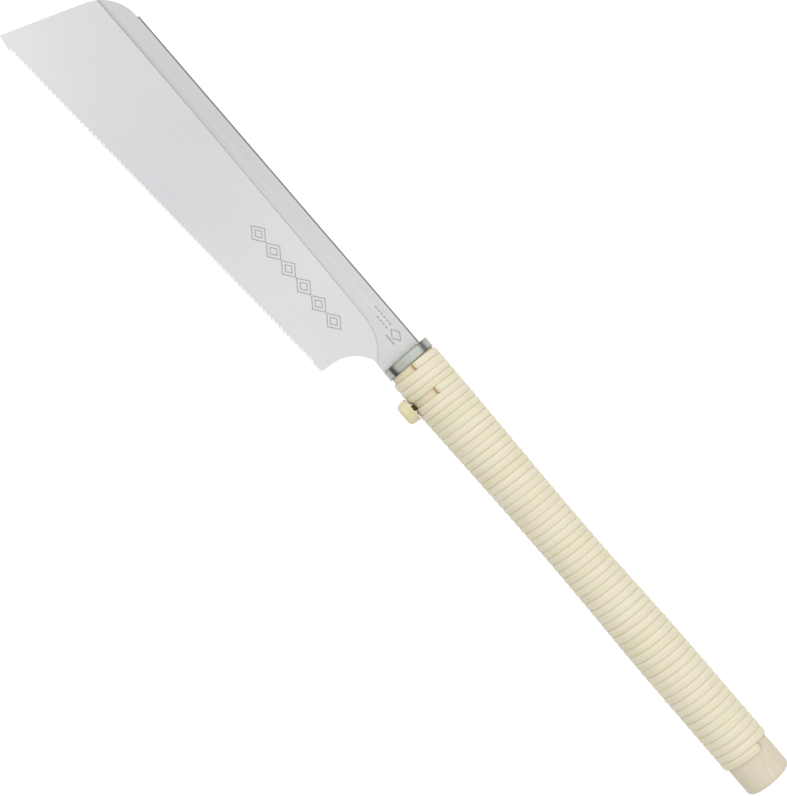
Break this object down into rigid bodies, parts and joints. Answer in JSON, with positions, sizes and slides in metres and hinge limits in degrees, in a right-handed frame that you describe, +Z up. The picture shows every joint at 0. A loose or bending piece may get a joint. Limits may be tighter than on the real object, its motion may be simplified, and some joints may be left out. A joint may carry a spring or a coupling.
{
  "type": "hand saw",
  "caption": "Pull saw lying on its side: thin toothed blade in a folded stiffening back, with a scooped heel, a cane-wound oval handle and a thumb screw that releases the blade.",
  "frame": {"origin": "centre of the bounding box's bottom face, with the saw lying on its side on a surface", "axes": "+X from the blade's nose to the handle's butt, -Y towards the teeth, +Z up and square to the blade"},
  "size_m": [0.5494, 0.067, 0.0231],
  "materials": {
    "core_wood": "bare sanded softwood",
    "ferrule_steel": "zinc plated, lightly brushed",
    "inner_steel": "zinc plated",
    "rattan": "natural peeled rattan, satin",
    "blade_steel": "fine ground spring steel",
    "back_steel": "brushed lengthwise",
    "stud_steel": "dark oiled thread",
    "knob_plastic": "cream, semi gloss"
  },
  "bodies": {
    "handle": {"core_left": "core_wood", "core_right": "core_wood", "mouth_ferrule": "ferrule_steel", "blade_sleeve": "inner_steel", "guide_pin": "inner_steel", "clamp_nut": "inner_steel", "front_winding": "rattan", "main_winding": "rattan"},
    "blade_unit": {"blade_plate": "blade_steel", "back_spine": "back_steel"},
    "clamp_foot": {"clamp_foot": "inner_steel"},
    "clamp_screw": {"clamp_stud": "stud_steel", "clamp_knob": "knob_plastic"}
  },
  "joints": [
    {"name": "blade_release", "type": "slide", "parent": "handle", "child": "blade_unit", "axis": [-1, 0, 0], "range_m": [0, 0.055]},
    {"name": "clamp_feed", "type": "slide", "parent": "handle", "child": "clamp_foot", "axis": [0, -1, 0], "range_m": [0, 0.0021]},
    {"name": "knob_turn", "type": "hinge", "parent": "clamp_foot", "child": "clamp_screw", "pos_m": [0.0101, 0.0007, 0.01154], "axis": [0, -1, 0], "range_deg": [0, 1080]}
  ],
  "couplings": [
    {"joint": "knob_turn", "follows": "clamp_feed", "rad_per_m": 8975.9}
  ]
}
